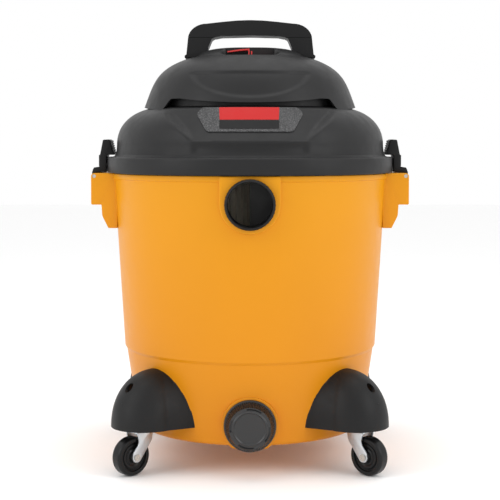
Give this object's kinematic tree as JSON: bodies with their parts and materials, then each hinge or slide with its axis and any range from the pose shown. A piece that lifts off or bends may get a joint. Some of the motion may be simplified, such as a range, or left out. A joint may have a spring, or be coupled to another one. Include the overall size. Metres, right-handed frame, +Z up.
{
  "type": "shop vacuum",
  "caption": "Wheeled wet and dry shop vacuum with a yellow plastic tank, a dark motor head with a carry handle, side latches, a hose inlet and a drain cap.",
  "frame": {"origin": "on the floor, under the centre of the tank", "axes": "+Z up, -Y towards the hose inlet at the front, +X to the right seen from the front"},
  "size_m": [0.443, 0.41, 0.604],
  "materials": {
    "tank": "satin",
    "black_plastic": "matt",
    "charcoal_plastic": "satin",
    "granite_plate": "speckled",
    "red_plastic": "gloss",
    "rubber": "matt",
    "wheel_rubber": "satin",
    "zinc": "zinc plated",
    "steel": "bright",
    "die_cast": "cast",
    "lamination": "varnished",
    "copper": "enamelled",
    "brass": "bright",
    "carbon": "matt",
    "white_plastic": "satin",
    "filter_paper": "pleated"
  },
  "bodies": {
    "root": {"tank_body": "tank", "inlet_ring": "black_plastic", "inlet_deflector": "black_plastic", "foot_front_left": "black_plastic", "foot_front_right": "black_plastic", "foot_rear_left": "black_plastic", "foot_rear_right": "black_plastic", "foot_screws": "steel", "caster_stems": "zinc", "latch_pins": "steel"},
    "head": {"lid": "charcoal_plastic", "lid_gasket": "rubber", "top_cover": "charcoal_plastic", "cover_screws": "steel", "name_plate": "granite_plate", "handle_lower": "black_plastic", "handle_grip": "black_plastic", "handle_screws": "steel", "saddle": "charcoal_plastic", "switch_body": "black_plastic", "exhaust_ring": "black_plastic", "cord_gland": "rubber", "fan_housing": "die_cast", "motor_seal": "rubber", "motor_bracket": "die_cast", "motor_screws": "steel", "stator": "lamination", "field_coils": "copper", "end_bracket": "die_cast", "lower_bearing": "steel", "upper_bearing": "steel", "brush_holders": "brass", "brushes": "carbon", "filter_cage": "black_plastic", "filter_element": "filter_paper", "filter_end_rings": "rubber", "filter_retainer": "black_plastic"},
    "latch_left": {"latch_left": "black_plastic"},
    "latch_right": {"latch_right": "black_plastic"},
    "drain_seal": {"drain_gasket": "rubber"},
    "drain_cap": {"drain_cap": "black_plastic"},
    "rocker": {"switch_rocker": "red_plastic"},
    "rotor": {"impeller": "die_cast", "motor_shaft": "steel", "armature": "lamination", "commutator": "copper", "cooling_fan": "black_plastic"},
    "float": {"float_ball": "white_plastic"},
    "caster_front_left": {"fork_front_left": "zinc", "axle_front_left": "steel"},
    "wheel_front_left": {"wheel_front_left": "wheel_rubber"},
    "caster_front_right": {"fork_front_right": "zinc", "axle_front_right": "steel"},
    "wheel_front_right": {"wheel_front_right": "wheel_rubber"},
    "caster_rear_left": {"fork_rear_left": "zinc", "axle_rear_left": "steel"},
    "wheel_rear_left": {"wheel_rear_left": "wheel_rubber"},
    "caster_rear_right": {"fork_rear_right": "zinc", "axle_rear_right": "steel"},
    "wheel_rear_right": {"wheel_rear_right": "wheel_rubber"}
  },
  "joints": [
    {"name": "lid_lift", "type": "slide", "parent": "root", "child": "head", "axis": [0, 0, 1], "range_m": [0, 0.2]},
    {"name": "latch_left_swing", "type": "hinge", "parent": "root", "child": "latch_left", "pos_m": [-0.2155, 0, 0.388], "axis": [0, -1, 0], "range_deg": [0, 90]},
    {"name": "latch_right_swing", "type": "hinge", "parent": "root", "child": "latch_right", "pos_m": [0.2155, 0, 0.388], "axis": [0, 1, 0], "range_deg": [0, 90]},
    {"name": "drain_travel", "type": "slide", "parent": "root", "child": "drain_seal", "axis": [0, -1, 0], "range_m": [0, 0.0121]},
    {"name": "drain_turn", "type": "hinge", "parent": "drain_seal", "child": "drain_cap", "pos_m": [0, -0.177, 0.07], "axis": [0, -1, 0], "range_deg": [0, 1080]},
    {"name": "switch_rock", "type": "hinge", "parent": "head", "child": "rocker", "pos_m": [0, -0.036, 0.55], "axis": [0, 1, 0], "range_deg": [-9, 0]},
    {"name": "motor_spin", "type": "hinge", "parent": "head", "child": "rotor", "pos_m": [0, 0, 0.45], "axis": [0, 0, 1], "continuous": true},
    {"name": "float_rise", "type": "slide", "parent": "head", "child": "float", "axis": [0, 0, 1], "range_m": [0, 0.0712]},
    {"name": "swivel_front_left", "type": "hinge", "parent": "root", "child": "caster_front_left", "pos_m": [-0.14408, -0.13435, 0.058], "axis": [0, 0, 1], "continuous": true},
    {"name": "roll_front_left", "type": "hinge", "parent": "caster_front_left", "child": "wheel_front_left", "pos_m": [-0.15578, -0.14527, 0.0254], "axis": [0.682, -0.7314, 0], "continuous": true},
    {"name": "swivel_front_right", "type": "hinge", "parent": "root", "child": "caster_front_right", "pos_m": [0.14408, -0.13435, 0.058], "axis": [0, 0, 1], "continuous": true},
    {"name": "roll_front_right", "type": "hinge", "parent": "caster_front_right", "child": "wheel_front_right", "pos_m": [0.15578, -0.14527, 0.0254], "axis": [0.682, 0.7314, 0], "continuous": true},
    {"name": "swivel_rear_left", "type": "hinge", "parent": "root", "child": "caster_rear_left", "pos_m": [-0.14408, 0.13435, 0.058], "axis": [0, 0, 1], "continuous": true},
    {"name": "roll_rear_left", "type": "hinge", "parent": "caster_rear_left", "child": "wheel_rear_left", "pos_m": [-0.15578, 0.14527, 0.0254], "axis": [-0.682, -0.7314, 0], "continuous": true},
    {"name": "swivel_rear_right", "type": "hinge", "parent": "root", "child": "caster_rear_right", "pos_m": [0.14408, 0.13435, 0.058], "axis": [0, 0, 1], "continuous": true},
    {"name": "roll_rear_right", "type": "hinge", "parent": "caster_rear_right", "child": "wheel_rear_right", "pos_m": [0.15578, 0.14527, 0.0254], "axis": [-0.682, 0.7314, 0], "continuous": true}
  ],
  "couplings": [
    {"joint": "drain_travel", "follows": "drain_turn", "m_per_rad": 0.00063662}
  ]
}
